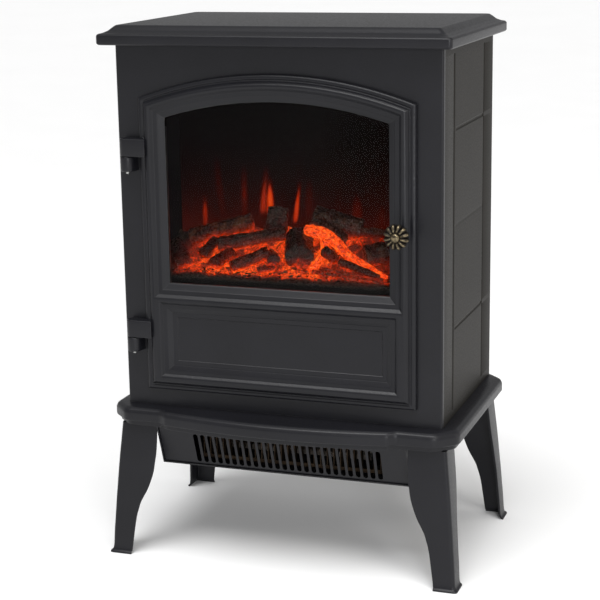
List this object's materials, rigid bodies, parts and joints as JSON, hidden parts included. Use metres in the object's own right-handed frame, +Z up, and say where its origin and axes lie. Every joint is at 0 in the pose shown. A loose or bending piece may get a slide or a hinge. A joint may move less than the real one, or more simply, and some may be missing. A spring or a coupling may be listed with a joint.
{
  "type": "electric stove heater",
  "caption": "Free-standing electric fireplace shaped as a stove: steel body on splayed legs, arched glass door over a glowing ember bed, and a fan heater under the base.",
  "frame": {"origin": "on the floor under the middle of the object's box", "axes": "+Z up, the front and its door face -Y, +X to the right as one faces the front"},
  "size_m": [0.418, 0.282, 0.611],
  "materials": {
    "body_paint": "charcoal black satin paint with a fine powder-coat grain on folded steel sheet",
    "cast_paint": "charcoal black satin paint on a cast door with crisp mouldings",
    "inner_black": "matt heat-resistant black",
    "steel": "plain zinc-plated steel",
    "aluminium": "mill-finish aluminium",
    "black_plastic": "fine-grained black moulded plastic",
    "brass": "antique brass with black patina in the petals",
    "smoked_glass": "clear heat-resistant glass with a dark smoke tint",
    "flame_screen": "dark translucent screen on which the flames show",
    "ember": "translucent orange resin with grey ash and grit on its front edge",
    "charred_log": "moulded resin painted as charred, glossy black and brown bark",
    "circuit_board": "green board with a row of small lamps"
  },
  "bodies": {
    "stove": {"top_cap": "body_paint", "front_panel": "body_paint", "side_panel_left": "body_paint", "side_panel_right": "body_paint", "back_panel": "body_paint", "cord_inlet": "black_plastic", "base_plate": "body_paint", "base_tray": "inner_black", "leg_front_left": "body_paint", "leg_front_right": "body_paint", "leg_rear_left": "body_paint", "leg_rear_right": "body_paint", "leg_screw_front_left": "steel", "leg_screw_front_right": "steel", "leg_screw_rear_left": "steel", "leg_screw_rear_right": "steel", "heater_housing": "body_paint", "heater_grille": "body_paint", "heating_element": "aluminium", "fan_motor": "steel", "thermal_cutout": "black_plastic", "control_box": "inner_black", "flame_switch_housing": "black_plastic", "heat_low_switch_housing": "black_plastic", "heat_high_switch_housing": "black_plastic", "thermostat_body": "steel", "firebox_liner": "inner_black", "ember_bed": "ember", "log_left_end": "charred_log", "log_back_left": "charred_log", "log_long_diagonal": "charred_log", "log_short_left": "charred_log", "log_low_diagonal": "charred_log", "log_round": "charred_log", "log_back_right": "charred_log", "log_right_end": "charred_log", "log_stump": "charred_log", "flame_screen": "flame_screen", "flame_template": "inner_black", "spindle_motor": "steel", "spindle_bracket": "steel", "lamp_board": "circuit_board", "door_magnet": "steel", "hinge_knuckle_upper": "cast_paint", "hinge_knuckle_lower": "cast_paint", "hinge_pin_upper": "steel", "hinge_pin_lower": "steel"},
    "door": {"door_frame": "cast_paint", "door_glass": "smoked_glass", "glass_retainer": "steel", "door_knob": "brass", "knob_screw": "steel", "hinge_arm_upper": "cast_paint", "hinge_arm_lower": "cast_paint"},
    "heater_fan": {"fan_impeller": "aluminium"},
    "flame_rotor": {"flame_spindle": "aluminium"},
    "flame_rocker": {"flame_switch": "black_plastic"},
    "low_heat_rocker": {"heat_low_switch": "black_plastic"},
    "high_heat_rocker": {"heat_high_switch": "black_plastic"},
    "thermostat_knob": {"thermostat_dial": "black_plastic"}
  },
  "joints": [
    {"name": "door_swing", "type": "hinge", "parent": "stove", "child": "door", "pos_m": [-0.1725, -0.1094, 0.365], "axis": [0, 0, -1], "range_deg": [0, 110]},
    {"name": "fan_spin", "type": "hinge", "parent": "stove", "child": "heater_fan", "pos_m": [-0.008, -0.035, 0.131], "axis": [1, 0, 0], "continuous": true},
    {"name": "spindle_spin", "type": "hinge", "parent": "stove", "child": "flame_rotor", "pos_m": [-0.0035, 0.075, 0.345], "axis": [1, 0, 0], "continuous": true},
    {"name": "flame_switch_rock", "type": "hinge", "parent": "stove", "child": "flame_rocker", "pos_m": [-0.075, -0.078, 0.255], "axis": [1, 0, 0], "range_deg": [0, 20]},
    {"name": "low_heat_rock", "type": "hinge", "parent": "stove", "child": "low_heat_rocker", "pos_m": [-0.042, -0.078, 0.255], "axis": [1, 0, 0], "range_deg": [0, 20]},
    {"name": "high_heat_rock", "type": "hinge", "parent": "stove", "child": "high_heat_rocker", "pos_m": [-0.009, -0.078, 0.255], "axis": [1, 0, 0], "range_deg": [0, 20]},
    {"name": "thermostat_turn", "type": "hinge", "parent": "stove", "child": "thermostat_knob", "pos_m": [0.062, -0.085, 0.255], "axis": [0, 1, 0], "range_deg": [-135, 135]}
  ]
}
